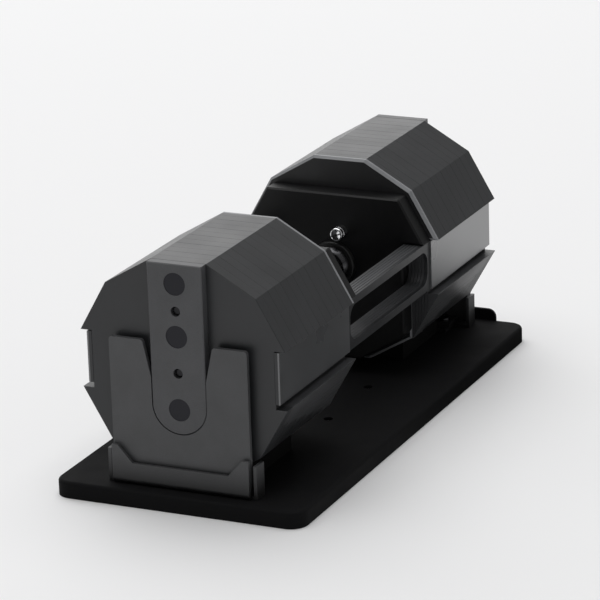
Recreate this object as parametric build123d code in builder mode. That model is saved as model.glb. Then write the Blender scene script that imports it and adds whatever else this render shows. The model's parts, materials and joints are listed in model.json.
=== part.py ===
"""Adjustable dumbbell in its dock: six nested weight shells around a twist-grip core.

Millimetres. Origin at the middle of the dock's underside, +X along the dumbbell's axis
towards the rear end, +Y to its left, +Z up.
"""

import os
from math import cos, pi, sin, sqrt, tan

from build123d import *

os.makedirs("parts", exist_ok=True)

# ---------------------------------------------------------------- driving dimensions
HEAD_ACROSS = 192.0          # across the flats of the twelve-sided heads
HEAD_REACH = 238.1           # half the length over both heads
INNER_RIM = 93.5             # half the gap between the heads
SHELL_COUNT = 6
AXIS_Z = 120.0               # height of the dumbbell's axis over the dock's underside
FACETS = 12

APOTHEM = HEAD_ACROSS / 2
HALF_FLAT = APOTHEM * tan(pi / FACETS)
FACET_SLOPE = sqrt(3.0)      # rise over run of the facets next to the upright sides
SHELL_PITCH = (HEAD_REACH - INNER_RIM) / SHELL_COUNT
SHELL_GAP = 0.2
PLATE_CHAMFER = 0.12
RIM_CHAMFER = 2.2
RIM_THICK = 5.0              # bright plate on the inner face of the smallest shell

# side rails
RAIL_THICK = 2.9
RAIL_PITCH = 3.2
RAIL_OUTER_FACE = 88.5
CHEEK_THICK = 1.5            # satin panel over the rail, beside each head
RAIL_TOP = 25.1              # above the axis
RAIL_BOTTOM = -21.0
SIDE_STEP = HALF_FLAT        # height above the axis where the upright sides start and end
WINDOW_LENGTH = 176.0
WINDOW_HEIGHT = 32.0
WINDOW_RADIUS = 12.0
SKIRT_START = INNER_RIM + 0.9
EDGE_EASE = 0.4

# add-on end bars
BAR_WIDTH = 50.8
BAR_THICK = 8.7
BAR_BOTTOM = 65.0
BAR_SEAT_GAP = 0.2
BAR_OUTER_FACE = HEAD_REACH + BAR_SEAT_GAP + BAR_THICK
MAGNET_RADIUS = 10.0
MAGNET_DROPS = (17.5, 64.0, 129.0)      # below the top of the bar
PIN_DROPS = (41.5, 96.5)
PIN_RADIUS = 4.0
PIN_HOLE_RADIUS = 4.4
PIN_DEPTH = 6.0
PIN_REACH = 6.0
PIN_LEAD = 1.0               # chamfer on a pin's tip

# core: handle and selector
CORE_APOTHEM = 90.5
CORE_FACE = 75.5             # inner face of each core plate
CORE_BACK = INNER_RIM - 0.1
CORE_TOP = 67.0              # flat top above the axis
CORE_HALF_WIDTH = 69.2
CORE_EDGE = 1.5
GRIP_RADIUS = 17.5
GRIP_REACH = 84.0
GRIP_BORE = 13.3
KNURL_REACH = 60.0
RING_GROOVE = 0.8
TUBE_RADIUS = 13.0
TUBE_BORE = 11.3
TUBE_REACH = 90.0
SEAT_DEPTH = 9.0
BUSH_RADIUS = 19.5
BUSH_CLEARANCE = 0.08
FLANGE_RADIUS = 22.0
FLANGE_THICK = 5.0
FLANGE_EASE = 1.5
ROD_RADIUS = 5.0
ROD_OFFSET = 5.7
ROD_TIP = 84.5
ROD_LEAD = 1.2               # chamfer on a rod's tip
ROD_INNER_END = 72.0
ROD_HOLE_RADIUS = 5.4
ROD_POCKET_DEPTH = 4.5
FOLLOWER_RADIUS = 2.0
FOLLOWER_X = 69.0
FOLLOWER_TIP = 15.2
GROOVE_BOTTOM = 15.7
GROOVE_WIDTH = 4.8
GROOVE_OVERRUN = 3.0
GROOVE_OVERLAP = 0.5         # of the groove's cutter into the sleeve's bore
SLOT_WIDTH = 4.5
TWIST_STEP = 28.0
TWIST_RANGE = TWIST_STEP * SHELL_COUNT
ROD_TRAVEL = SHELL_PITCH * SHELL_COUNT
GUIDE_START = 78.2
BUTTON_RADIUS = 6.2
BUTTON_BORE = 6.28
BUTTON_REACH = 13.0          # out of the core plate at rest
BUTTON_SIDE = 9.0
BUTTON_HEIGHT = 32.0         # above the axis
BUTTON_COLLAR_RADIUS = 8.0
BUTTON_COLLAR_THICK = 1.5
BUTTON_STOP_GAP = 0.1
BUTTON_EASE = 1.2
POCKET_RADIUS = 8.4
POCKET_FLOOR = 83.4
CAP_THICK = 1.2
SPRING_RADIUS = 6.0
SPRING_WIRE = 0.4
SPRING_TURNS = 3

# dock
TRAY_LENGTH = 528.0
TRAY_WIDTH = 234.0
TRAY_HEIGHT = 15.0
TRAY_CORNER = 15.0
SHEET = 3.0
TRAY_BEND = 3.0
STOP_HALF_WIDTH = 86.0
STOP_HEIGHT = 11.0
STOP_CORNER = 8.0
CRADLE_START = 212.0
CRADLE_HALF_WIDTH = 70.0
LIP_OUTER = 251.5
LIP_HEIGHT = 20.0
LIP_CORNER_HEIGHT = 35.0
LIP_FLAT_HALF = 45.0
LIP_HALF_WIDTH = 64.5
LIP_CORNER_WIDTH = 6.0
LIP_BEND = 5.0
FOOT_HALF_WIDTH = 54.0
TAB_SETBACK = 1.0
TAB_LENGTH = 15.0
TAB_HEIGHT = 30.0
WALL_THICK = 4.0
WALL_HALF_WIDTH = 64.5
WALL_TOP = 146.0
WALL_FOOT = 22.0
HORN_RADIUS = 3.0
SLOT_HALF_WIDTH = 25.8
SLOT_MOUTH_HALF = 32.8
SLOT_MOUTH_DEPTH = 32.0
SADDLE_START = 126.0
SADDLE_END = 210.0
SADDLE_HALF_WIDTH = 46.0
SADDLE_GAP = 0.25
SADDLE_EASE = 2.0
SADDLE_PEG_RADIUS = 4.0
SADDLE_PEGS = (140.0, 196.0)
SCREW_RADIUS = 3.0
SCREW_CLEARANCE = 0.1
SCREW_HEAD_RADIUS = 5.5
SCREW_HEAD_HEIGHT = 3.2
SCREW_HEAD_EASE = 1.92
SCREW_SOCKET = 3.5
NUT_RADIUS = 5.8
NUT_HEIGHT = 5.0
WALL_SCREW_Y = 45.0
STAND_HOLE_RADIUS = 4.25
STAND_HOLE_HALF = 45.0

TRAY_TOP = TRAY_HEIGHT
CRADLE_TOP = TRAY_TOP + SHEET
HEAD_BOTTOM = AXIS_Z - APOTHEM
WALL_OUTER = BAR_OUTER_FACE
WALL_INNER = WALL_OUTER - WALL_THICK
WALL_SCREW_X = WALL_INNER - WALL_FOOT / 2

ENDS = {"front": -1, "rear": 1}
SIDES = (-1, 1)


def corner(index, apothem):
    """Corner of the twelve-sided outline, counted from the top right."""
    angle = pi / 2 - pi / FACETS - index * 2 * pi / FACETS
    reach = apothem / cos(pi / FACETS)
    return reach * cos(angle), reach * sin(angle)


def rail_inner_face(shell):
    """Distance from the middle plane to the inner face of a shell's rail."""
    return RAIL_OUTER_FACE - RAIL_THICK - (SHELL_COUNT - shell) * RAIL_PITCH


def facet_height(y):
    """Height, from the axis, of the lower side facet at a distance y from the middle."""
    return -SIDE_STEP - (APOTHEM - y) * FACET_SLOPE


def half_outline(apothem, top, side):
    """Right half of a plate: full width over the rails, cut back to 'side' below."""
    step = SIDE_STEP
    upper = [corner(i, apothem) for i in range(3)]
    lower = [corner(i, apothem) for i in range(3, 6)]
    points = []
    if top < apothem:
        slope_x = upper[0][0] + (apothem - top) / (apothem - upper[1][1]) * (upper[1][0] - upper[0][0])
        points.append((slope_x, top))
    else:
        points.append(upper[0])
    points.append(upper[1])
    widest = upper[1][0] + (upper[1][1] - step) / FACET_SLOPE
    points.append((widest, step))
    points.append((side, step))
    if side > lower[1][0]:
        points.append((side, -upper[1][1] + (side - lower[1][0]) * FACET_SLOPE))
        points.append(lower[1])
    else:
        run = (lower[1][0] - side) / FACET_SLOPE
        points.append((side, lower[1][1] - run))
    points.append(lower[2])
    return points


def end_outline():
    """Right half of the outermost plate: notched for the rail, full width above and below."""
    floor = rail_inner_face(SHELL_COUNT)
    points = [corner(i, APOTHEM) for i in range(3)]
    points += [(floor, SIDE_STEP), (floor, -SIDE_STEP)]
    return points + [corner(i, APOTHEM) for i in range(3, 6)]


def mirrored(points):
    """Close a right half by adding its mirror image."""
    return points + [(-y, z) for y, z in reversed(points)]


def cross_plane(x):
    """Sketch plane square to the dumbbell's axis: sketch X is +Y, sketch Y is +Z."""
    return Plane(origin=(x, 0, AXIS_Z), x_dir=(0, 1, 0), z_dir=(1, 0, 0))


def level_plane(z):
    """Horizontal sketch plane at height z."""
    return Plane.XY.offset(z)


def side_plane(y):
    """Upright sketch plane along the dumbbell, facing +Y: sketch X is -X, sketch Y is +Z."""
    return Plane(origin=(0, y, AXIS_Z), x_dir=(-1, 0, 0), z_dir=(0, 1, 0))


def span(end, near, far):
    """Start and length, along +X, of a stretch from near to far on one end."""
    return (near if end > 0 else -far), far - near


def button_spot(end):
    """Centre of the lock button on one core plate, from the axis."""
    return -end * BUTTON_SIDE, BUTTON_HEIGHT


def edges_at(part, x):
    """Edges of the outer outline lying in the plane at x."""
    face = part.faces().filter_by(Axis.X).sort_by(lambda f: abs(f.center().X - x))[0]
    return face.outer_wire().edges()


def lamination(end, near, far, outline, inner_cut, outer_cut, holes):
    """One steel plate of a shell, with eased outlines and its holes."""
    start, length = span(end, near, far)
    with BuildPart() as plate:
        with BuildSketch(cross_plane(start)):
            Polygon(*outline, align=None)
        extrude(amount=length)
        chamfer(edges_at(plate.part, end * near), length=inner_cut)
        chamfer(edges_at(plate.part, end * far), length=outer_cut)
        for spot, radius, hole_near, hole_far in holes:
            hole_start, hole_length = span(end, hole_near, hole_far)
            with BuildSketch(cross_plane(hole_start)):
                with Locations(spot):
                    Circle(radius)
            extrude(amount=hole_length, mode=Mode.SUBTRACT)
    return plate.part


def shell_plates(shell, end):
    """Both plates of a shell at one end."""
    inner = INNER_RIM + (shell - 1) * SHELL_PITCH + SHELL_GAP / 2
    outer = INNER_RIM + shell * SHELL_PITCH - SHELL_GAP / 2
    middle = (inner + outer) / 2
    if shell == 1:
        inner += RIM_THICK
    cut = half_outline(APOTHEM, APOTHEM, rail_inner_face(shell))
    cut_outline = mirrored(cut)
    last = shell == SHELL_COUNT
    rod_spot = (0, -end * ROD_OFFSET)
    inner_holes = [(rod_spot, ROD_HOLE_RADIUS, inner, middle)]
    if last:
        pocket_end = middle + ROD_POCKET_DEPTH
        outer_holes = [(rod_spot, ROD_HOLE_RADIUS, middle, pocket_end)]
        for drop in PIN_DROPS:
            outer_holes.append(((0, APOTHEM - drop), PIN_RADIUS, outer - PIN_DEPTH, outer))
    else:
        outer_holes = [(rod_spot, ROD_HOLE_RADIUS, middle, outer)]
    end_cut = EDGE_EASE if last else PLATE_CHAMFER
    inner_plate = lamination(end, inner, middle, cut_outline, PLATE_CHAMFER, PLATE_CHAMFER, inner_holes)
    outer_shape = mirrored(end_outline()) if last else cut_outline
    outer_plate = lamination(end, middle, outer, outer_shape, PLATE_CHAMFER, end_cut, outer_holes)
    return Compound(children=[inner_plate, outer_plate])


def rail(shell, side):
    """One flat side rail: a windowed frame between the heads, deep ends beside them."""
    inner = rail_inner_face(shell)
    outer = inner + RAIL_THICK
    last = shell == SHELL_COUNT
    reach = INNER_RIM + shell * SHELL_PITCH - SHELL_GAP / 2
    with BuildPart() as bar:
        with BuildSketch(cross_plane(-reach)):
            with Locations((side * (inner + outer) / 2, (RAIL_TOP + RAIL_BOTTOM) / 2)):
                Rectangle(RAIL_THICK, RAIL_TOP - RAIL_BOTTOM)
        extrude(amount=2 * reach)
        if not last:
            skirt = [
                (side * inner, 0),
                (side * outer, 0),
                (side * outer, facet_height(outer)),
                (side * inner, facet_height(inner)),
            ]
            for end in ENDS.values():
                start, length = span(end, SKIRT_START, reach)
                with BuildSketch(cross_plane(start)):
                    Polygon(*skirt, align=None)
                extrude(amount=length)
        window_middle = (RAIL_TOP + RAIL_BOTTOM) / 2
        with BuildSketch(side_plane(side * inner if side > 0 else -outer)):
            with Locations((0, window_middle)):
                RectangleRounded(WINDOW_LENGTH, WINDOW_HEIGHT, WINDOW_RADIUS)
        extrude(amount=RAIL_THICK, mode=Mode.SUBTRACT)
        top_edges = bar.edges().filter_by(Axis.X).group_by(Axis.Z)[-1]
        chamfer(top_edges, length=EDGE_EASE)
    return bar.part


def screw(x, y, seat, length):
    """Button-head socket screw pointing down, its head on a seat at height 'seat'."""
    with BuildPart() as bolt:
        with BuildSketch(level_plane(seat - length)):
            with Locations((x, y)):
                Circle(SCREW_RADIUS)
        extrude(amount=length)
        with BuildSketch(level_plane(seat)):
            with Locations((x, y)):
                Circle(SCREW_HEAD_RADIUS)
        extrude(amount=SCREW_HEAD_HEIGHT)
        rim = bolt.edges().filter_by(GeomType.CIRCLE).group_by(Axis.Z)[-1]
        fillet(rim, radius=SCREW_HEAD_EASE)
        with BuildSketch(level_plane(seat + SCREW_HEAD_HEIGHT / 3)):
            with Locations((x, y)):
                RegularPolygon(SCREW_SOCKET / 2, 6, major_radius=False)
        extrude(amount=SCREW_HEAD_HEIGHT, mode=Mode.SUBTRACT)
    return bolt.part


def save(part, label):
    """Name a piece and write it out."""
    part.label = label
    export_step(part, f"parts/{label}.step")


WALL_SPOTS = [(sx * WALL_SCREW_X, sy * WALL_SCREW_Y) for sx in SIDES for sy in SIDES]
PEG_SPOTS = [(sx * x, 0) for sx in SIDES for x in SADDLE_PEGS]
STAND_SPOTS = [(sx * STAND_HOLE_HALF, sy * STAND_HOLE_HALF) for sx in SIDES for sy in SIDES]

# ---------------------------------------------------------------- dock: base tray
with BuildPart() as base_tray:
    with BuildSketch():
        RectangleRounded(TRAY_LENGTH, TRAY_WIDTH, TRAY_CORNER)
    extrude(amount=TRAY_HEIGHT)
    fillet(base_tray.faces().sort_by(Axis.Z)[-1].outer_wire().edges(), radius=TRAY_BEND)
    with BuildSketch():
        RectangleRounded(TRAY_LENGTH - 2 * SHEET, TRAY_WIDTH - 2 * SHEET, TRAY_CORNER - SHEET)
    extrude(amount=TRAY_HEIGHT - SHEET, mode=Mode.SUBTRACT)
    stop_plane = Plane(origin=(TRAY_LENGTH / 2 - SHEET, 0, 0), x_dir=(0, 1, 0), z_dir=(1, 0, 0))
    with BuildSketch(stop_plane):
        with Locations((0, TRAY_TOP + STOP_HEIGHT / 2 - TRAY_BEND)):
            Rectangle(2 * STOP_HALF_WIDTH, STOP_HEIGHT + 2 * TRAY_BEND)
        top_corners = vertices().group_by(Axis.Y)[-1]
        fillet(top_corners, radius=STOP_CORNER)
    extrude(amount=SHEET)
    with BuildSketch(level_plane(TRAY_TOP - SHEET)):
        with Locations(*WALL_SPOTS):
            Circle(SCREW_RADIUS + SCREW_CLEARANCE)
        with Locations(*STAND_SPOTS):
            Circle(STAND_HOLE_RADIUS)
        with Locations(*PEG_SPOTS):
            Circle(SADDLE_PEG_RADIUS)
    extrude(amount=SHEET, mode=Mode.SUBTRACT)
save(base_tray.part, "base_tray")

# ---------------------------------------------------------------- dock: cradle brackets
for name, end in ENDS.items():
    with BuildPart() as cradle:
        foot_start, foot_length = span(end, CRADLE_START, LIP_OUTER - SHEET)
        with BuildSketch(level_plane(TRAY_TOP)):
            with Locations((foot_start + foot_length / 2, 0)):
                Rectangle(foot_length, 2 * FOOT_HALF_WIDTH)
        extrude(amount=SHEET)
        start, length = span(end, LIP_OUTER - SHEET, LIP_OUTER)
        lip = [
            (LIP_HALF_WIDTH, 0),
            (LIP_HALF_WIDTH, LIP_CORNER_HEIGHT),
            (LIP_HALF_WIDTH - LIP_CORNER_WIDTH, LIP_CORNER_HEIGHT),
            (LIP_FLAT_HALF, LIP_HEIGHT),
        ]
        with BuildSketch(Plane(origin=(start, 0, TRAY_TOP), x_dir=(0, 1, 0), z_dir=(1, 0, 0))):
            Polygon(*mirrored(lip), align=None)
        extrude(amount=length)
        lip_face = cradle.faces().filter_by(Axis.X).sort_by(Axis.X)[-1 if end > 0 else 0]
        fillet(lip_face.edges().sort_by(Axis.Z)[0], radius=LIP_BEND)
        tab_end = LIP_OUTER - SHEET - TAB_SETBACK
        tab_start, tab_length = span(end, tab_end - TAB_LENGTH, tab_end)
        tab_middle = tab_start + tab_length / 2
        with BuildSketch(level_plane(TRAY_TOP)):
            with Locations((tab_middle, 0)):
                Rectangle(tab_length, 2 * CRADLE_HALF_WIDTH)
        extrude(amount=SHEET)
        with BuildSketch(level_plane(TRAY_TOP)):
            with Locations(*[(tab_middle, side * (CRADLE_HALF_WIDTH - SHEET / 2)) for side in SIDES]):
                Rectangle(tab_length, SHEET)
        extrude(amount=TAB_HEIGHT)
        with BuildSketch(level_plane(TRAY_TOP)):
            with Locations(*[(end * WALL_SCREW_X, side * WALL_SCREW_Y) for side in SIDES]):
                Circle(SCREW_RADIUS + SCREW_CLEARANCE)
        extrude(amount=SHEET, mode=Mode.SUBTRACT)
    save(cradle.part, f"cradle_{name}")

# ---------------------------------------------------------------- dock: end walls and saddles
for name, end in ENDS.items():
    with BuildPart() as end_wall:
        start, length = span(end, WALL_INNER, WALL_OUTER)
        slot_middle = BAR_BOTTOM + BAR_WIDTH / 2
        with BuildSketch(Plane(origin=(start, 0, 0), x_dir=(0, 1, 0), z_dir=(1, 0, 0))):
            with Locations((0, (WALL_TOP + CRADLE_TOP) / 2)):
                Rectangle(2 * WALL_HALF_WIDTH, WALL_TOP - CRADLE_TOP)
            with Locations((0, slot_middle)):
                Circle(SLOT_HALF_WIDTH, mode=Mode.SUBTRACT)
            mouth = [
                (SLOT_HALF_WIDTH, slot_middle),
                (SLOT_HALF_WIDTH, WALL_TOP - SLOT_MOUTH_DEPTH),
                (SLOT_MOUTH_HALF, WALL_TOP),
            ]
            Polygon(*mirrored(mouth), align=None, mode=Mode.SUBTRACT)
            fillet(vertices().group_by(Axis.Y)[-1], radius=HORN_RADIUS)
        extrude(amount=length)
        foot_start, foot_length = span(end, WALL_INNER - WALL_FOOT, WALL_INNER)
        with BuildSketch(level_plane(CRADLE_TOP)):
            with Locations((foot_start + foot_length / 2, 0)):
                Rectangle(foot_length, 2 * FOOT_HALF_WIDTH)
            with Locations(*WALL_SPOTS):
                Circle(SCREW_RADIUS + SCREW_CLEARANCE, mode=Mode.SUBTRACT)
        extrude(amount=SHEET)
    save(end_wall.part, f"end_wall_{name}")

    with BuildPart() as saddle:
        start, length = span(end, SADDLE_START, SADDLE_END)
        seat = HEAD_BOTTOM - SADDLE_GAP
        wing_top = seat + (SADDLE_HALF_WIDTH - HALF_FLAT) / FACET_SLOPE
        cradle = [
            (HALF_FLAT, seat),
            (SADDLE_HALF_WIDTH, wing_top),
            (SADDLE_HALF_WIDTH, TRAY_TOP),
        ]
        with BuildSketch(Plane(origin=(start, 0, 0), x_dir=(0, 1, 0), z_dir=(1, 0, 0))):
            Polygon(*mirrored(cradle), align=None)
        extrude(amount=length)
        fillet(saddle.edges().filter_by(Axis.X).group_by(Axis.Z)[-1], radius=SADDLE_EASE)
        with BuildSketch(level_plane(TRAY_TOP)):
            with Locations(*[(end * x, 0) for x in SADDLE_PEGS]):
                Circle(SADDLE_PEG_RADIUS)
        extrude(amount=-SHEET)
    save(saddle.part, f"saddle_{name}")

# ---------------------------------------------------------------- dock: fasteners
screw_length = 3 * SHEET + NUT_HEIGHT
screws = [screw(x, y, CRADLE_TOP + SHEET, screw_length) for x, y in WALL_SPOTS]
save(Compound(children=screws), "dock_screws")

nuts = []
for spot in WALL_SPOTS:
    with BuildPart() as nut:
        with BuildSketch(level_plane(TRAY_TOP - SHEET - NUT_HEIGHT)):
            with Locations(spot):
                RegularPolygon(NUT_RADIUS, 6)
                Circle(SCREW_RADIUS, mode=Mode.SUBTRACT)
        extrude(amount=NUT_HEIGHT)
    nuts.append(nut.part)
save(Compound(children=nuts), "dock_nuts")

# ---------------------------------------------------------------- weight shells
for shell in range(1, SHELL_COUNT + 1):
    for name, end in ENDS.items():
        save(shell_plates(shell, end), f"shell_{shell}_plates_{name}")
    rails = [rail(shell, side) for side in SIDES]
    save(Compound(children=rails), f"shell_{shell}_rails")

for name, end in ENDS.items():
    near = INNER_RIM + SHELL_GAP / 2
    outline = mirrored(half_outline(APOTHEM, APOTHEM, rail_inner_face(1)))
    rod_hole = ((0, -end * ROD_OFFSET), ROD_HOLE_RADIUS, near, near + RIM_THICK)
    rim = lamination(end, near, near + RIM_THICK, outline, RIM_CHAMFER, PLATE_CHAMFER, [rod_hole])
    save(rim, f"shell_1_rim_{name}")

side_bars = []
for end in ENDS.values():
    for side in SIDES:
        with BuildPart() as side_bar:
            inner = rail_inner_face(SHELL_COUNT)
            start, length = span(end, SKIRT_START, INNER_RIM + (SHELL_COUNT - 0.5) * SHELL_PITCH)
            section = [
                (side * inner, -SIDE_STEP),
                (side * (APOTHEM - EDGE_EASE), -SIDE_STEP),
                (side * (APOTHEM - EDGE_EASE), facet_height(APOTHEM - EDGE_EASE)),
                (side * inner, facet_height(inner)),
            ]
            with BuildSketch(cross_plane(start)):
                Polygon(*section, align=None)
            extrude(amount=length)
        side_bars.append(side_bar.part)
save(Compound(children=side_bars), "shell_6_side_bars")

shell_face = HEAD_REACH - SHELL_GAP / 2
cheeks = []
for end in ENDS.values():
    for side in SIDES:
        with BuildPart() as cheek:
            start, length = span(end, INNER_RIM + SHELL_GAP / 2, shell_face)
            middle_y = side * (RAIL_OUTER_FACE + CHEEK_THICK / 2)
            with BuildSketch(cross_plane(start)):
                with Locations((middle_y, (RAIL_TOP + RAIL_BOTTOM) / 2)):
                    Rectangle(CHEEK_THICK, RAIL_TOP - RAIL_BOTTOM)
            extrude(amount=length)
            outer_face = cheek.faces().sort_by(Axis.Y)[-1 if side > 0 else 0]
            chamfer(outer_face.edges().filter_by(Axis.X), length=EDGE_EASE)
        cheeks.append(cheek.part)
save(Compound(children=cheeks), "shell_6_cheeks")

pins = []
for end in ENDS.values():
    for drop in PIN_DROPS:
        with BuildPart() as pin:
            start, length = span(end, shell_face - PIN_DEPTH, shell_face + PIN_REACH)
            with BuildSketch(cross_plane(start)):
                with Locations((0, APOTHEM - drop)):
                    Circle(PIN_RADIUS)
            extrude(amount=length)
            tip = pin.edges().filter_by(GeomType.CIRCLE).sort_by(Axis.X)
            chamfer(tip[-1] if end > 0 else tip[0], length=PIN_LEAD)
        pins.append(pin.part)
save(Compound(children=pins), "locating_pins")

# ---------------------------------------------------------------- add-on end bars
for name, end in ENDS.items():
    bar_start, bar_length = span(end, HEAD_REACH + BAR_SEAT_GAP, BAR_OUTER_FACE)
    with BuildPart() as end_bar:
        round_middle = BAR_BOTTOM + BAR_WIDTH / 2 - AXIS_Z
        with BuildSketch(cross_plane(bar_start)):
            with Locations((0, (APOTHEM + round_middle) / 2)):
                Rectangle(BAR_WIDTH, APOTHEM - round_middle)
            with Locations((0, round_middle)):
                Circle(BAR_WIDTH / 2)
        extrude(amount=bar_length)
        chamfer(edges_at(end_bar.part, end * BAR_OUTER_FACE), length=EDGE_EASE * 2)
        for drop in MAGNET_DROPS:
            with BuildSketch(cross_plane(bar_start)):
                with Locations((0, APOTHEM - drop)):
                    Circle(MAGNET_RADIUS)
            extrude(amount=bar_length, mode=Mode.SUBTRACT)
        for drop in PIN_DROPS:
            with BuildSketch(cross_plane(bar_start)):
                with Locations((0, APOTHEM - drop)):
                    Circle(PIN_HOLE_RADIUS)
            extrude(amount=bar_length, mode=Mode.SUBTRACT)
    save(end_bar.part, f"end_bar_{name}")

    magnets = []
    for drop in MAGNET_DROPS:
        with BuildPart() as magnet:
            with BuildSketch(cross_plane(bar_start + EDGE_EASE)):
                with Locations((0, APOTHEM - drop)):
                    Circle(MAGNET_RADIUS)
            extrude(amount=bar_length - 2 * EDGE_EASE)
        magnets.append(magnet.part)
    save(Compound(children=magnets), f"magnets_{name}")

# ---------------------------------------------------------------- core plates, guides, bushes
for name, end in ENDS.items():
    with BuildPart() as core_plate:
        start, length = span(end, CORE_FACE, CORE_BACK)
        outline = mirrored(half_outline(CORE_APOTHEM, CORE_TOP, CORE_HALF_WIDTH))
        with BuildSketch(cross_plane(start)):
            Polygon(*outline, align=None)
        extrude(amount=length)
        chamfer(edges_at(core_plate.part, end * CORE_FACE), length=CORE_EDGE)
        seat_start, seat_length = span(end, CORE_FACE, CORE_FACE + SEAT_DEPTH)
        with BuildSketch(cross_plane(seat_start)):
            Circle(BUSH_RADIUS)
        extrude(amount=seat_length, mode=Mode.SUBTRACT)
        bore_start, bore_length = span(end, CORE_FACE + SEAT_DEPTH, TUBE_REACH)
        with BuildSketch(cross_plane(bore_start)):
            Circle(TUBE_RADIUS)
        extrude(amount=bore_length, mode=Mode.SUBTRACT)
        hole_start, hole_length = span(end, TUBE_REACH, CORE_BACK)
        with BuildSketch(cross_plane(hole_start)):
            with Locations((0, -end * ROD_OFFSET)):
                Circle(ROD_HOLE_RADIUS)
        extrude(amount=hole_length, mode=Mode.SUBTRACT)
        for radius, near, far in (
            (BUTTON_BORE, CORE_FACE, POCKET_FLOOR),
            (POCKET_RADIUS, POCKET_FLOOR, CORE_BACK),
        ):
            start, length = span(end, near, far)
            with BuildSketch(cross_plane(start)):
                with Locations(button_spot(end)):
                    Circle(radius)
            extrude(amount=length, mode=Mode.SUBTRACT)
    save(core_plate.part, f"core_plate_{name}")

    with BuildPart() as lock_button:
        collar_near = POCKET_FLOOR + BUTTON_STOP_GAP
        collar_far = collar_near + BUTTON_COLLAR_THICK
        for radius, near, far in (
            (BUTTON_RADIUS, CORE_FACE - BUTTON_REACH, collar_near),
            (BUTTON_COLLAR_RADIUS, collar_near, collar_far),
        ):
            start, length = span(end, near, far)
            with BuildSketch(cross_plane(start)):
                with Locations(button_spot(end)):
                    Circle(radius)
            extrude(amount=length)
        rims = lock_button.edges().filter_by(GeomType.CIRCLE).sort_by(Axis.X)
        fillet(rims[0] if end > 0 else rims[-1], radius=BUTTON_EASE)
    save(lock_button.part, f"lock_button_{name}")

    with BuildPart() as lock_cap:
        start, length = span(end, CORE_BACK - CAP_THICK, CORE_BACK)
        with BuildSketch(cross_plane(start)):
            with Locations(button_spot(end)):
                Circle(POCKET_RADIUS)
        extrude(amount=length)
    save(lock_cap.part, f"lock_cap_{name}")

    with BuildPart() as lock_spring:
        near = collar_far + SPRING_WIRE
        far = CORE_BACK - CAP_THICK - SPRING_WIRE
        start, length = span(end, near, far)
        coil = Helix(
            length / SPRING_TURNS,
            length,
            SPRING_RADIUS,
            direction=(1, 0, 0),
            mode=Mode.PRIVATE,
        )
        button_y, button_z = button_spot(end)
        wire = (Pos(start, button_y, AXIS_Z + button_z) * coil).edge()
        with BuildSketch(Plane(origin=wire @ 0, z_dir=wire % 0)):
            Circle(SPRING_WIRE)
        sweep(path=wire, is_frenet=True)
    save(lock_spring.part, f"lock_spring_{name}")

    with BuildPart() as grip_bush:
        hub_start, hub_length = span(end, CORE_FACE - FLANGE_THICK, CORE_FACE + SEAT_DEPTH)
        flange_start, flange_length = span(end, CORE_FACE - FLANGE_THICK, CORE_FACE)
        with BuildSketch(cross_plane(hub_start)):
            Circle(BUSH_RADIUS)
        extrude(amount=hub_length)
        with BuildSketch(cross_plane(flange_start)):
            Circle(FLANGE_RADIUS)
        extrude(amount=flange_length)
        rims = grip_bush.edges().filter_by(GeomType.CIRCLE).sort_by(Axis.X)
        fillet(rims[0] if end > 0 else rims[-1], radius=FLANGE_EASE)
        with BuildSketch(cross_plane(hub_start)):
            Circle(GRIP_RADIUS + BUSH_CLEARANCE)
        extrude(amount=hub_length, mode=Mode.SUBTRACT)
    save(grip_bush.part, f"grip_bush_{name}")

    with BuildPart() as rod_guide:
        start, length = span(end, GUIDE_START, TUBE_REACH)
        with BuildSketch(cross_plane(start)):
            Circle(TUBE_BORE)
            with Locations((0, -end * ROD_OFFSET)):
                Circle(ROD_RADIUS + BUSH_CLEARANCE, mode=Mode.SUBTRACT)
        extrude(amount=length)
    save(rod_guide.part, f"rod_guide_{name}")

    with BuildPart() as selector_rod:
        tip, tail = end * ROD_TIP, -end * ROD_INNER_END
        with BuildSketch(cross_plane(min(tip, tail))):
            with Locations((0, -end * ROD_OFFSET)):
                Circle(ROD_RADIUS)
        extrude(amount=abs(tip - tail))
        rims = selector_rod.edges().filter_by(GeomType.CIRCLE).sort_by(Axis.X)
        chamfer(rims[-1] if end > 0 else rims[0], length=ROD_LEAD)
        with BuildSketch(level_plane(AXIS_Z - end * ROD_OFFSET)):
            with Locations((-end * FOLLOWER_X, 0)):
                Circle(FOLLOWER_RADIUS)
        extrude(amount=-end * ROD_RADIUS, mode=Mode.SUBTRACT)
    save(selector_rod.part, f"selector_rod_{name}")

    with BuildPart() as follower_pin:
        with BuildSketch(level_plane(AXIS_Z - end * ROD_OFFSET)):
            with Locations((-end * FOLLOWER_X, 0)):
                Circle(FOLLOWER_RADIUS)
        extrude(amount=-end * (FOLLOWER_TIP - ROD_OFFSET))
    save(follower_pin.part, f"follower_pin_{name}")

# ---------------------------------------------------------------- core tube and grip sleeve
groove_start = FOLLOWER_X
groove_end = FOLLOWER_X - ROD_TRAVEL
groove_middle = (groove_start + groove_end) / 2
slot_length = ROD_TRAVEL + SLOT_WIDTH
with BuildPart() as core_tube:
    with BuildSketch(cross_plane(-TUBE_REACH)):
        Circle(TUBE_RADIUS)
        Circle(TUBE_BORE, mode=Mode.SUBTRACT)
    extrude(amount=2 * TUBE_REACH)
    for end in ENDS.values():
        with BuildSketch(level_plane(AXIS_Z)):
            with Locations((-end * groove_middle, 0)):
                SlotOverall(slot_length, SLOT_WIDTH)
        extrude(amount=-end * 2 * TUBE_RADIUS, mode=Mode.SUBTRACT)
save(core_tube.part, "core_tube")

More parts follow.
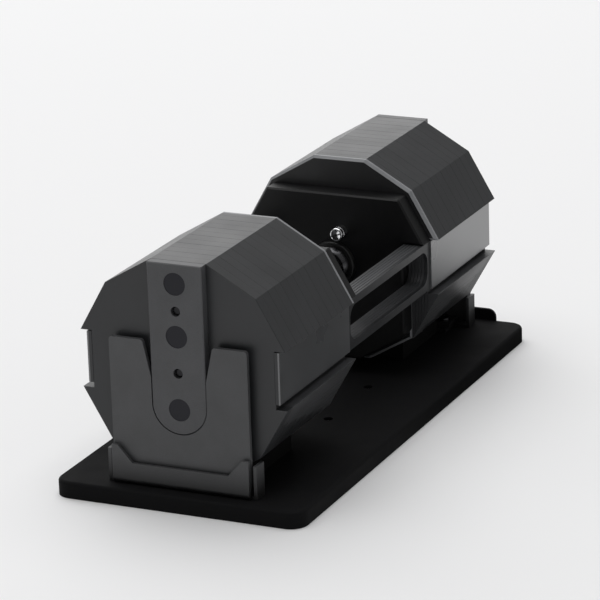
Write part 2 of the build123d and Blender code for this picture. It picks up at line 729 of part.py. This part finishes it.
with BuildPart() as grip_sleeve:
    with BuildSketch(cross_plane(-GRIP_REACH)):
        Circle(GRIP_RADIUS)
        Circle(GRIP_BORE, mode=Mode.SUBTRACT)
    extrude(amount=2 * GRIP_REACH)
    for x in (-KNURL_REACH, KNURL_REACH):
        with BuildSketch(cross_plane(x - RING_GROOVE)):
            Circle(GRIP_RADIUS)
            Circle(GRIP_RADIUS - RING_GROOVE, mode=Mode.SUBTRACT)
        extrude(amount=2 * RING_GROOVE, mode=Mode.SUBTRACT)
    lead = ROD_TRAVEL * 360 / TWIST_RANGE
    overrun_twist = GROOVE_OVERRUN * 360 / lead
    groove_depth = GROOVE_BOTTOM - GRIP_BORE + GROOVE_OVERLAP
    for end in ENDS.values():
        low_x = (groove_end if end < 0 else -groove_start) - GROOVE_OVERRUN
        low_turn = -TWIST_RANGE - overrun_twist if end < 0 else 180 + overrun_twist
        spiral = Helix(
            lead,
            ROD_TRAVEL + 2 * GROOVE_OVERRUN,
            GROOVE_BOTTOM - groove_depth / 2,
            direction=(1, 0, 0),
            lefthand=end > 0,
            mode=Mode.PRIVATE,
        )
        track = (Pos(low_x, 0, AXIS_Z) * Rot(X=low_turn) * spiral).edge()
        begin = track @ 0
        outward = begin - Vector(begin.X, 0, AXIS_Z)
        with BuildSketch(Plane(origin=begin, x_dir=outward, z_dir=track % 0)):
            Rectangle(groove_depth, GROOVE_WIDTH)
        sweep(path=track, is_frenet=True, mode=Mode.SUBTRACT)
save(grip_sleeve.part, "grip_sleeve")
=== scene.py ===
"""Looks for the adjustable dumbbell in its dock: materials, grip, buttons, springs, light and camera."""

import json
import math

import bmesh
import bpy
from mathutils import Matrix, Vector


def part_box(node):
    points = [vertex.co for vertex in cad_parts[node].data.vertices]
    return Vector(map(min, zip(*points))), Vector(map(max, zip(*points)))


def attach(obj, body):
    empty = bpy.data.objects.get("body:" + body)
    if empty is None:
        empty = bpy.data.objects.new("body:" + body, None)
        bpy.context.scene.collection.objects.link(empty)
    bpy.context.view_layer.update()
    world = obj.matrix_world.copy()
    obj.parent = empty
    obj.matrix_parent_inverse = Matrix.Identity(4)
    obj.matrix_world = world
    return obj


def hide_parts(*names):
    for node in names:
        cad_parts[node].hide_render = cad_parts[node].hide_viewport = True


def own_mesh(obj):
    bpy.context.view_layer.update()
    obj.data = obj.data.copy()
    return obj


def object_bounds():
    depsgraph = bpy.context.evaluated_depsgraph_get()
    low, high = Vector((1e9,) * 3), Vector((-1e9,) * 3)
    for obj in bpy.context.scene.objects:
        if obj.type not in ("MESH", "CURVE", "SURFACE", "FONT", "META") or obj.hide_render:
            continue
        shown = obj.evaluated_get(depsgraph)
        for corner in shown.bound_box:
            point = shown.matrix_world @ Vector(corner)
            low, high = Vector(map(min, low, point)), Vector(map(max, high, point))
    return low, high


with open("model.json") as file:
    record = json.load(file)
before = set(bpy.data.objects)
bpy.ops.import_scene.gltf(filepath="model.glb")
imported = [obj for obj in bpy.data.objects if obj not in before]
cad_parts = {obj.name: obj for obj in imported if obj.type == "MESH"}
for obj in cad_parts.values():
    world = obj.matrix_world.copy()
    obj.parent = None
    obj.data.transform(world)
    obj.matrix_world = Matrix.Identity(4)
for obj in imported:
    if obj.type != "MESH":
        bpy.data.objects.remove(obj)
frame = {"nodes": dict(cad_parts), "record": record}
cad_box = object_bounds()
nodes = frame["nodes"]

MM = 0.001

# camera: place and heading of the photograph's viewpoint, in the dumbbell's own frame
CAMERA_PLACE = (-2.6568, -1.2376, 1.0672)
PHOTO_HEADING = math.radians(18.82)
PHOTO_PITCH = math.radians(16.49)
CAMERA_LENS = 205.0
CAMERA_SENSOR = 36.0

# studio
BACKDROP = (0.86, 0.86, 0.865)
FLOOR_HALF = 12.0
FLOOR_DROP = 0.2 * MM        # under the dock, so the two never share a plane
WORLD_STRENGTH = 0.25
SKY_OFFSET = (0.4, 0.5, 3.0)
SKY_ENERGY = 2.08
SKY_ANGLE = math.radians(75.0)
PANEL_HEADING = math.radians(42.0)
PANEL_RISE = math.radians(24.0)
PANEL_DISTANCE = 8.0
PANEL_SIZE = (9.2, 6.4)
PANEL_POWER = 222.0
# dark card seen only in reflections: painted shade for the near panels
CARD_LOW = (-0.18, -0.70)
CARD_HIGH = (0.53, -0.03)
CARD_LIFT = 1.0 * MM
CARD_COLOUR = (0.02, 0.02, 0.02)
CARD_FADE = 0.25             # share of the card's radius over which its edge fades

# material patterns, in features per metre
PEBBLE_SCALE = 1500.0
MOTTLE_SCALE = 28.0
PATCH_SCALE = 7.0
RIPPLE_SCALE = 160.0
BRUSH_SCALE = 900.0
HAZE_SCALE = 45.0
WORN_SCALE = 60.0
MOULD_SCALE = 1100.0
CLOUD_SCALE = 30.0

# grip sleeve
GRIP_BORE = 13.3 * MM
KNURL_REACH = 59.2 * MM
KNURL_STARTS = 44
KNURL_DEPTH = 0.55 * MM
KNURL_FADE = 1.5 * MM
KNURL_SHARPNESS = 0.8
POINTS_PER_DIAMOND = 6
GROOVE_NEAR = 59.2 * MM
GROOVE_FAR = 60.8 * MM
GROOVE_DEPTH = 0.8 * MM
GROOVE_FLANK = 0.05 * MM
END_EASE = 0.6 * MM
END_EASE_DEPTH = 0.5 * MM

# push buttons and their springs
BUTTON_RADIUS = 6.2 * MM
BUTTON_COLLAR = 1.5 * MM
BUTTON_GROOVE_DEPTH = 0.4 * MM
BUTTON_AROUND = 64
BUTTON_BEVEL = 0.08 * MM
SPRING_WIRE = 0.4 * MM
SPRING_TURNS = 3
SPRING_STEPS = 144
SPRING_AROUND = 12


# ---------------------------------------------------------------- material helpers
def new_material(name):
    """An empty node material and its shader."""
    material = bpy.data.materials.new(name)
    material.use_nodes = True
    shader = material.node_tree.nodes["Principled BSDF"]
    return material, material.node_tree, shader


def add_node(tree, kind, **inputs):
    """A shader node with some of its inputs set by name."""
    node = tree.nodes.new(kind)
    for key, value in inputs.items():
        node.inputs[key.replace("_", " ")].default_value = value
    return node


def noise(tree, scale, detail=4.0, roughness=0.55, stretch=(1, 1, 1)):
    """Noise over the piece's own coordinates, in features per metre."""
    place = tree.nodes.new("ShaderNodeTexCoord")
    mapping = tree.nodes.new("ShaderNodeMapping")
    mapping.inputs["Scale"].default_value = stretch
    tree.links.new(place.outputs["Object"], mapping.inputs["Vector"])
    texture = add_node(tree, "ShaderNodeTexNoise", Scale=scale, Detail=detail, Roughness=roughness)
    tree.links.new(mapping.outputs["Vector"], texture.inputs["Vector"])
    return texture.outputs["Fac"]


def ramp(tree, source, stops):
    """Colour ramp from a value; stops are (position, grey or colour)."""
    node = tree.nodes.new("ShaderNodeValToRGB")
    tree.links.new(source, node.inputs["Fac"])
    elements = node.color_ramp.elements
    for _ in range(len(stops) - 2):
        elements.new(0.5)
    for element, (position, colour) in zip(elements, stops):
        if not isinstance(colour, tuple):
            colour = (colour, colour, colour)
        element.position = position
        element.color = (*colour, 1.0)
    return node.outputs["Color"]


def feed(tree, source, socket):
    """Set a socket to a number, or link it to another socket."""
    if isinstance(source, float):
        socket.default_value = source
    else:
        tree.links.new(source, socket)


def arithmetic(tree, operation, a, b):
    """Result of a sum on two links or numbers."""
    node = tree.nodes.new("ShaderNodeMath")
    node.operation = operation
    feed(tree, a, node.inputs[0])
    feed(tree, b, node.inputs[1])
    return node.outputs["Value"]


def axes(tree, coordinate):
    """X, Y and Z of one of the piece's own coordinates, by name."""
    place = tree.nodes.new("ShaderNodeTexCoord")
    split = tree.nodes.new("ShaderNodeSeparateXYZ")
    tree.links.new(place.outputs[coordinate], split.inputs["Vector"])
    return split.outputs


def mix(tree, blend, factor, a, b):
    """Colour mix of two links; the factor is a number or a link."""
    node = tree.nodes.new("ShaderNodeMix")
    node.data_type = "RGBA"
    node.blend_type = blend
    feed(tree, factor, node.inputs["Factor"])
    tree.links.new(a, node.inputs["A"])
    tree.links.new(b, node.inputs["B"])
    return node.outputs["Result"]


def bump(tree, shader, layers):
    """Stacked bumps; layers are (height link, distance in metres, strength)."""
    previous = None
    for height, distance, strength in layers:
        node = add_node(tree, "ShaderNodeBump", Strength=strength, Distance=distance)
        tree.links.new(height, node.inputs["Height"])
        if previous:
            tree.links.new(previous, node.inputs["Normal"])
        previous = node.outputs["Normal"]
    tree.links.new(previous, shader.inputs["Normal"])


def scaled(colour, factor):
    """A colour made lighter or darker."""
    return tuple(c * factor for c in colour)


def painted_low_shade(tree, shader, top):
    """Painted shade: darken the base colour towards the tray, up to a height, for the shadow in the
    lip's lower bend.
    """
    height = arithmetic(tree, "DIVIDE", axes(tree, "Object")["Z"], top)
    colour = shader.inputs["Base Color"].links[0].from_socket
    shade = ramp(tree, height, [(0.38, 0.08), (0.95, 1.0)])
    tree.links.new(mix(tree, "MULTIPLY", 1.0, colour, shade), shader.inputs["Base Color"])


def powder_coat(
    name,
    colour,
    rough=(0.36, 0.5),
    grain=PEBBLE_SCALE,
    grain_depth=0.06,
    shine=0.5,
    ripple_depth=0.10,
    gloss=0.0,
    shade_top=None,
):
    """Textured powder coat: pebbled grain, faint mottling, dust and handling marks; painted shade
    towards the tray when a height is given.
    """
    material, tree, shader = new_material(name)
    pebbles = noise(tree, grain, detail=2.0)
    mottle = noise(tree, MOTTLE_SCALE, detail=5.0)
    patches = noise(tree, PATCH_SCALE, detail=3.0)
    tint = ramp(tree, mottle, [(0.3, scaled(colour, 0.86)), (0.7, scaled(colour, 1.16))])
    speck = ramp(tree, pebbles, [(0.35, 0.86), (0.65, 1.0)])
    tree.links.new(mix(tree, "MULTIPLY", 1.0, tint, speck), shader.inputs["Base Color"])
    low, high = rough
    spread = ramp(tree, patches, [(0.3, low), (0.7, high)])
    fine = ramp(tree, mottle, [(0.35, 0.9), (0.65, 1.0)])
    tree.links.new(mix(tree, "MULTIPLY", 1.0, spread, fine), shader.inputs["Roughness"])
    ripple = noise(tree, RIPPLE_SCALE, detail=2.0)
    bump(tree, shader, [(ripple, ripple_depth * MM, 0.35), (pebbles, grain_depth * MM, 0.6)])
    shader.inputs["Specular IOR Level"].default_value = shine
    shader.inputs["Coat Weight"].default_value = gloss
    shader.inputs["Coat Roughness"].default_value = low
    # painted shade, darker towards the tray up to this height
    if shade_top:
        painted_low_shade(tree, shader, shade_top)
    return material


def metal(name, colour, rough, brush=(1, 1, 1), marks=0.25):
    """Bare metal with directional brushing and fine marks."""
    material, tree, shader = new_material(name)
    shader.inputs["Metallic"].default_value = 1.0
    lines = noise(tree, BRUSH_SCALE, detail=3.0, stretch=brush)
    haze = noise(tree, HAZE_SCALE, detail=4.0)
    tint = ramp(tree, haze, [(0.3, scaled(colour, 0.9)), (0.7, colour)])
    tree.links.new(tint, shader.inputs["Base Color"])
    low, high = rough
    spread = ramp(tree, haze, [(0.3, low), (0.75, high)])
    fine = ramp(tree, lines, [(0.3, 0.8), (0.7, 1.0)])
    tree.links.new(mix(tree, "MULTIPLY", 1.0, spread, fine), shader.inputs["Roughness"])
    bump(tree, shader, [(lines, 0.02 * MM, marks)])
    return material


def edged_coat(name, face_colour, edge_colour):
    """Dark coat on the flat faces square to the axis, worn satin on the outline between them."""
    material, tree, shader = new_material(name)
    across = axes(tree, "Normal")["X"]
    facing = ramp(tree, arithmetic(tree, "MULTIPLY", across, across), [(0.80, 0.0), (0.90, 1.0)])
    cloud = noise(tree, WORN_SCALE)
    worn = ramp(tree, cloud, [(0.3, scaled(edge_colour, 0.8)), (0.7, edge_colour)])
    coat = ramp(tree, cloud, [(0.3, scaled(face_colour, 0.8)), (0.7, face_colour)])
    tree.links.new(mix(tree, "MIX", facing, worn, coat), shader.inputs["Base Color"])
    tree.links.new(ramp(tree, cloud, [(0.3, 0.36), (0.7, 0.5)]), shader.inputs["Roughness"])
    bump(tree, shader, [(noise(tree, PEBBLE_SCALE, detail=2.0), 0.03 * MM, 0.5)])
    return material


def moulded(name, colour, rough=(0.5, 0.7), shine=0.5):
    """Moulded rubber or nylon with a fine matt grain."""
    material, tree, shader = new_material(name)
    grain = noise(tree, MOULD_SCALE, detail=3.0)
    cloud = noise(tree, CLOUD_SCALE, detail=4.0)
    tint = ramp(tree, cloud, [(0.3, scaled(colour, 0.8)), (0.7, scaled(colour, 1.25))])
    tree.links.new(tint, shader.inputs["Base Color"])
    low, high = rough
    tree.links.new(ramp(tree, cloud, [(0.3, low), (0.7, high)]), shader.inputs["Roughness"])
    bump(tree, shader, [(grain, 0.05 * MM, 0.5)])
    shader.inputs["Specular IOR Level"].default_value = shine
    return material


# ---------------------------------------------------------------- materials
plate_coat = powder_coat("plate_coat", (0.021, 0.022, 0.024), rough=(0.36, 0.46))
rail_coat = powder_coat(
    "rail_coat",
    (0.052, 0.053, 0.056),
    rough=(0.34, 0.44),
    grain=2100.0,
    grain_depth=0.03,
)
frame_coat = powder_coat(
    "frame_coat",
    (0.022, 0.023, 0.025),
    rough=(0.34, 0.44),
    grain=2100.0,
    grain_depth=0.03,
)
cheek_satin = powder_coat(
    "cheek_satin",
    (0.066, 0.068, 0.072),
    rough=(0.28, 0.34),
    grain=1900.0,
    grain_depth=0.001,
    shine=1.0,
    ripple_depth=0.02,
    gloss=0.9,
)
bar_coat = powder_coat("bar_coat", (0.066, 0.067, 0.071), rough=(0.42, 0.52))
dock_coat = powder_coat(
    "dock_coat",
    (0.066, 0.067, 0.070),
    rough=(0.42, 0.54),
    grain=1300.0,
    # painted shade on the dock's lowest part, darker towards the tray
    shade_top=44.0 * MM,
)
tray_coat = powder_coat(
    "tray_coat",
    (0.0075, 0.0075, 0.008),
    rough=(0.75, 0.9),
    grain=1700.0,
    shine=0.08,
)
core_coat = powder_coat("core_coat", (0.006, 0.006, 0.0065), rough=(0.42, 0.55), shine=0.25)
saddle_rubber = moulded("saddle_rubber", (0.006, 0.006, 0.006), rough=(0.75, 0.9), shine=0.1)
bush_nylon = moulded("bush_nylon", (0.010, 0.010, 0.010), rough=(0.34, 0.46), shine=0.4)
grip_black = metal("grip_black", (0.10, 0.10, 0.105), rough=(0.26, 0.38), brush=(0.1, 1, 1), marks=0.1)
button_chrome = metal("button_chrome", (0.82, 0.825, 0.84), rough=(0.07, 0.12), marks=0.04)
rim_satin = edged_coat("rim_satin", (0.012, 0.012, 0.013), (0.24, 0.245, 0.255))
rod_steel = metal("rod_steel", (0.5, 0.5, 0.51), rough=(0.2, 0.32), brush=(0.05, 1, 1))
guide_brass = metal("guide_brass", (0.62, 0.46, 0.2), rough=(0.25, 0.35), brush=(1, 0.1, 0.1))
black_zinc = metal("black_zinc", (0.09, 0.09, 0.095), rough=(0.3, 0.42))
magnet_face = metal("magnet_face", (0.034, 0.034, 0.038), rough=(0.42, 0.55))
pin_black = metal("pin_black", (0.03, 0.03, 0.032), rough=(0.3, 0.4))

LOOKS = {
    "tray_black": tray_coat,
    "dock_steel": dock_coat,
    "saddle_rubber": saddle_rubber,
    "fastener_steel": black_zinc,
    "plate_coat": plate_coat,
    "rail_coat": rail_coat,
    "pin_steel": pin_black,
    "bar_coat": bar_coat,
    "magnet_dark": magnet_face,
    "core_coat": core_coat,
    "bush_dark": bush_nylon,
    "guide_brass": guide_brass,
    "rod_steel": rod_steel,
    "grip_black": grip_black,
    "button_chrome": button_chrome,
    "rim_satin": rim_satin,
    "cheek_satin": cheek_satin,
    "frame_coat": frame_coat,
}

for entry in frame["record"]["subparts"]:
    piece = nodes[entry["node"]]
    look = LOOKS[entry["material_slot"]]
    for place in piece.material_slots:
        place.material = look


# ---------------------------------------------------------------- built pieces
def join_rings(mesh, rings):
    """Faces between neighbouring rings; a ring of one point makes a fan."""
    around = max(len(ring) for ring in rings)
    for first, second in zip(rings, rings[1:]):
        for i in range(around):
            j = (i + 1) % around
            corners = [
                first[i % len(first)],
                first[j % len(first)],
                second[j % len(second)],
                second[i % len(second)],
            ]
            mesh.faces.new(list(dict.fromkeys(corners)))


def finish_piece(mesh, name, material, body, node):
    """Turn a built mesh into a piece that stands for a CAD node."""
    bmesh.ops.recalc_face_normals(mesh, faces=mesh.faces)
    data = bpy.data.meshes.new(name)
    mesh.to_mesh(data)
    mesh.free()
    for face in data.polygons:
        face.use_smooth = len(face.vertices) <= 4
    data.materials.append(material)
    piece = bpy.data.objects.new(name, data)
    bpy.context.collection.objects.link(piece)
    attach(piece, body)
    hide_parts(node)
    return piece


def knurled_grip():
    """Grip sleeve with real diamond knurling, inside the sleeve's own size."""
    low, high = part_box("grip_sleeve")
    reach = high.x
    outer = (high.y - low.y) / 2
    axis_z = (low.z + high.z) / 2
    around = KNURL_STARTS * POINTS_PER_DIAMOND
    angles = [2 * math.pi * i / around for i in range(around)]
    pitch = 2 * math.pi * outer / KNURL_STARTS
    plain = [
        -reach,
        -reach + END_EASE,
        -GROOVE_FAR,
        -GROOVE_FAR + GROOVE_FLANK,
        -GROOVE_NEAR - GROOVE_FLANK,
        -GROOVE_NEAR,
    ]
    count = int(2 * KNURL_REACH * POINTS_PER_DIAMOND / pitch)
    knurled = [-KNURL_REACH + 2 * KNURL_REACH * (i + 0.5) / count for i in range(count)]
    stations = plain + knurled + [-x for x in reversed(plain)]

    def radius(x, angle):
        distance = abs(x)
        if distance >= reach - END_EASE / 2:
            return outer - END_EASE_DEPTH
        if GROOVE_NEAR < distance < GROOVE_FAR:
            return outer - GROOVE_DEPTH
        if distance >= GROOVE_NEAR:
            return outer
        run = x / pitch * 2 * math.pi
        a = abs(math.sin((KNURL_STARTS * angle + run) / 2))
        b = abs(math.sin((KNURL_STARTS * angle - run) / 2))
        fade = min(1.0, (KNURL_REACH - distance) / KNURL_FADE)
        return outer - KNURL_DEPTH * fade * (1 - min(a, b) ** KNURL_SHARPNESS)

    mesh = bmesh.new()

    def ring(x, radii):
        return [
            mesh.verts.new((x, r * math.cos(angle), axis_z + r * math.sin(angle)))
            for r, angle in zip(radii, angles)
        ]

    rings = [ring(x, [radius(x, angle) for angle in angles]) for x in stations]
    rings += [ring(x, [GRIP_BORE] * around) for x in (reach, -reach)]
    join_rings(mesh, rings + rings[:1])
    finish_piece(mesh, "grip_knurled", grip_black, "grip", "grip_sleeve")


def push_button(end, direction):
    """Turned button with a dished face and a ring groove; direction points out of the plate."""
    node = f"lock_button_{end}"
    low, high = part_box(node)
    middle = (low + high) / 2
    tip_x = high.x if direction > 0 else low.x
    length = high.x - low.x
    collar = (high.z - low.z) / 2
    groove = BUTTON_RADIUS - BUTTON_GROOVE_DEPTH
    profile = [
        (0.5 * MM, 0.0),
        (0.35 * MM, 3.4 * MM),
        (0.0, 4.5 * MM),
        (0.0, 5.0 * MM),
        (0.3 * MM, 5.7 * MM),
        (1.1 * MM, BUTTON_RADIUS),
        (4.2 * MM, BUTTON_RADIUS),
        (4.4 * MM, groove),
        (5.0 * MM, groove),
        (5.2 * MM, BUTTON_RADIUS),
        (length - BUTTON_COLLAR, BUTTON_RADIUS),
        (length - BUTTON_COLLAR, collar),
        (length, collar),
        (length, 0.0),
    ]
    mesh = bmesh.new()
    rings = []
    for along, radius in profile:
        points = BUTTON_AROUND if radius else 1
        angles = [2 * math.pi * i / points for i in range(points)]
        x = tip_x - direction * along
        rings.append([
            mesh.verts.new((x, middle.y + radius * math.cos(a), middle.z + radius * math.sin(a)))
            for a in angles
        ])
    join_rings(mesh, rings)
    body = f"button_{end}_body"
    piece = finish_piece(mesh, f"button_{end}", button_chrome, body, node)
    edges = piece.modifiers.new("bevel", "BEVEL")
    edges.width = BUTTON_BEVEL
    edges.segments = 2
    edges.limit_method = "ANGLE"


def return_spring(end):
    """Coil behind a button, with its turns closed up towards both ends."""
    node = f"lock_spring_{end}"
    low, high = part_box(node)
    middle = (low + high) / 2
    length = high.x - low.x
    coil = (high.z - low.z) / 2 - SPRING_WIRE
    wire_angles = [2 * math.pi * i / SPRING_AROUND for i in range(SPRING_AROUND)]
    mesh = bmesh.new()
    rings = []
    for step in range(SPRING_STEPS + 1):
        share = step / SPRING_STEPS
        rise = share - math.sin(2 * math.pi * share) / (2 * math.pi)
        x = low.x + SPRING_WIRE + (length - 2 * SPRING_WIRE) * rise
        turn = 2 * math.pi * SPRING_TURNS * share
        ring = []
        for angle in wire_angles:
            radius = coil + SPRING_WIRE * math.cos(angle)
            ring.append(mesh.verts.new((
                x + SPRING_WIRE * math.sin(angle),
                middle.y + radius * math.cos(turn),
                middle.z + radius * math.sin(turn),
            )))
        rings.append(ring)
    join_rings(mesh, rings)
    mesh.faces.new(rings[0])
    mesh.faces.new(rings[-1])
    piece = finish_piece(mesh, f"spring_{end}", rod_steel, "core", node)
    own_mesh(piece)


ENDS = {"front": 1, "rear": -1}   # which way each end's button points, along X

knurled_grip()
for end, direction in ENDS.items():
    push_button(end, direction)
for end, direction in ENDS.items():
    return_spring(end)


# ---------------------------------------------------------------- floor and light
def stage_sheet(name, low, high, z):
    """Flat rectangle of the set, with its own material; not part of the object."""
    data = bpy.data.meshes.new(name)
    corners = [(low.x, low.y, 0), (high.x, low.y, 0), (high.x, high.y, 0), (low.x, high.y, 0)]
    data.from_pydata(corners, [], [(0, 1, 2, 3)])
    sheet = bpy.data.objects.new(name, data)
    sheet.location.z = z
    material, tree, shader = new_material(name)
    data.materials.append(material)
    bpy.context.collection.objects.link(sheet)
    return sheet, tree, shader


def studio_floor():
    """Plain pale floor."""
    half = Vector((FLOOR_HALF, FLOOR_HALF))
    _, _, shader = stage_sheet("studio_floor", -half, half, cad_box[0][2] - FLOOR_DROP)
    shader.inputs["Base Color"].default_value = (*BACKDROP, 1)
    shader.inputs["Roughness"].default_value = 0.9
    shader.inputs["Specular IOR Level"].default_value = 0.1


def black_card():
    """Painted shade in reflections: a soft-edged dark card beside the dock, seen by mirror rays only,
    standing in for shadowed floor so the near panels stay dark.
    """
    low, high = Vector(CARD_LOW), Vector(CARD_HIGH)
    middle, half = (low + high) / 2, (high - low) / 2
    card, tree, shader = stage_sheet("black_card", low, high, CARD_LIFT)
    shader.inputs["Base Color"].default_value = (*CARD_COLOUR, 1)
    shader.inputs["Specular IOR Level"].default_value = 0.0
    place = tree.nodes.new("ShaderNodeTexCoord")
    mapping = tree.nodes.new("ShaderNodeMapping")
    mapping.inputs["Scale"].default_value = (1 / half.x, 1 / half.y, 1)
    mapping.inputs["Location"].default_value = (-middle.x / half.x, -middle.y / half.y, 0)
    tree.links.new(place.outputs["Object"], mapping.inputs["Vector"])
    round_fade = tree.nodes.new("ShaderNodeTexGradient")
    round_fade.gradient_type = "SPHERICAL"
    tree.links.new(mapping.outputs["Vector"], round_fade.inputs["Vector"])
    cover = ramp(tree, round_fade.outputs["Color"], [(0.0, 0.0), (CARD_FADE, 1.0)])
    tree.links.new(cover, shader.inputs["Alpha"])
    card.visible_camera = False
    card.visible_diffuse = False
    card.visible_shadow = False


def add_lamp(name, kind, place, energy):
    """A lamp at a place, aimed at the middle of the part."""
    lamp = bpy.data.lights.new(name, kind)
    lamp.energy = energy
    holder = bpy.data.objects.new(name, lamp)
    holder.location = place
    holder.rotation_euler = (centre - place).to_track_quat("-Z", "Y").to_euler()
    holder.visible_camera = False
    bpy.context.collection.objects.link(holder)
    return lamp


centre = (Vector(cad_box[0]) + Vector(cad_box[1])) / 2
studio_floor()
black_card()

world = bpy.data.worlds.new("studio")
world.use_nodes = True
background = world.node_tree.nodes["Background"]
background.inputs["Color"].default_value = (1.0, 1.0, 1.0, 1)
background.inputs["Strength"].default_value = WORLD_STRENGTH
bpy.context.scene.world = world

sky = add_lamp("sky", "SUN", centre + Vector(SKY_OFFSET), SKY_ENERGY)
sky.angle = SKY_ANGLE

panel_way = Vector((
    math.cos(PANEL_RISE) * math.cos(PANEL_HEADING),
    math.cos(PANEL_RISE) * math.sin(PANEL_HEADING),
    math.sin(PANEL_RISE),
))
panel = add_lamp("back_panel", "AREA", centre + PANEL_DISTANCE * panel_way, PANEL_POWER)
panel.shape = "RECTANGLE"
panel.size, panel.size_y = PANEL_SIZE

# ---------------------------------------------------------------- camera
forward = Vector((
    math.cos(PHOTO_PITCH) * math.cos(PHOTO_HEADING),
    math.cos(PHOTO_PITCH) * math.sin(PHOTO_HEADING),
    -math.sin(PHOTO_PITCH),
))
right = forward.cross(Vector((0, 0, 1))).normalized()
up = right.cross(forward)
photo_frame = Matrix((right, up, -forward)).transposed()
sight = (centre - Vector(CAMERA_PLACE)).normalized()
turn = forward.rotation_difference(sight).to_matrix()

camera_data = bpy.data.cameras.new("camera")
camera_data.lens = CAMERA_LENS
camera_data.sensor_width = CAMERA_SENSOR
camera = bpy.data.objects.new("camera", camera_data)
camera.matrix_world = Matrix.Translation(CAMERA_PLACE) @ (turn @ photo_frame).to_4x4()
bpy.context.collection.objects.link(camera)
bpy.context.scene.camera = camera
bpy.context.scene.view_settings.view_transform = "Standard"
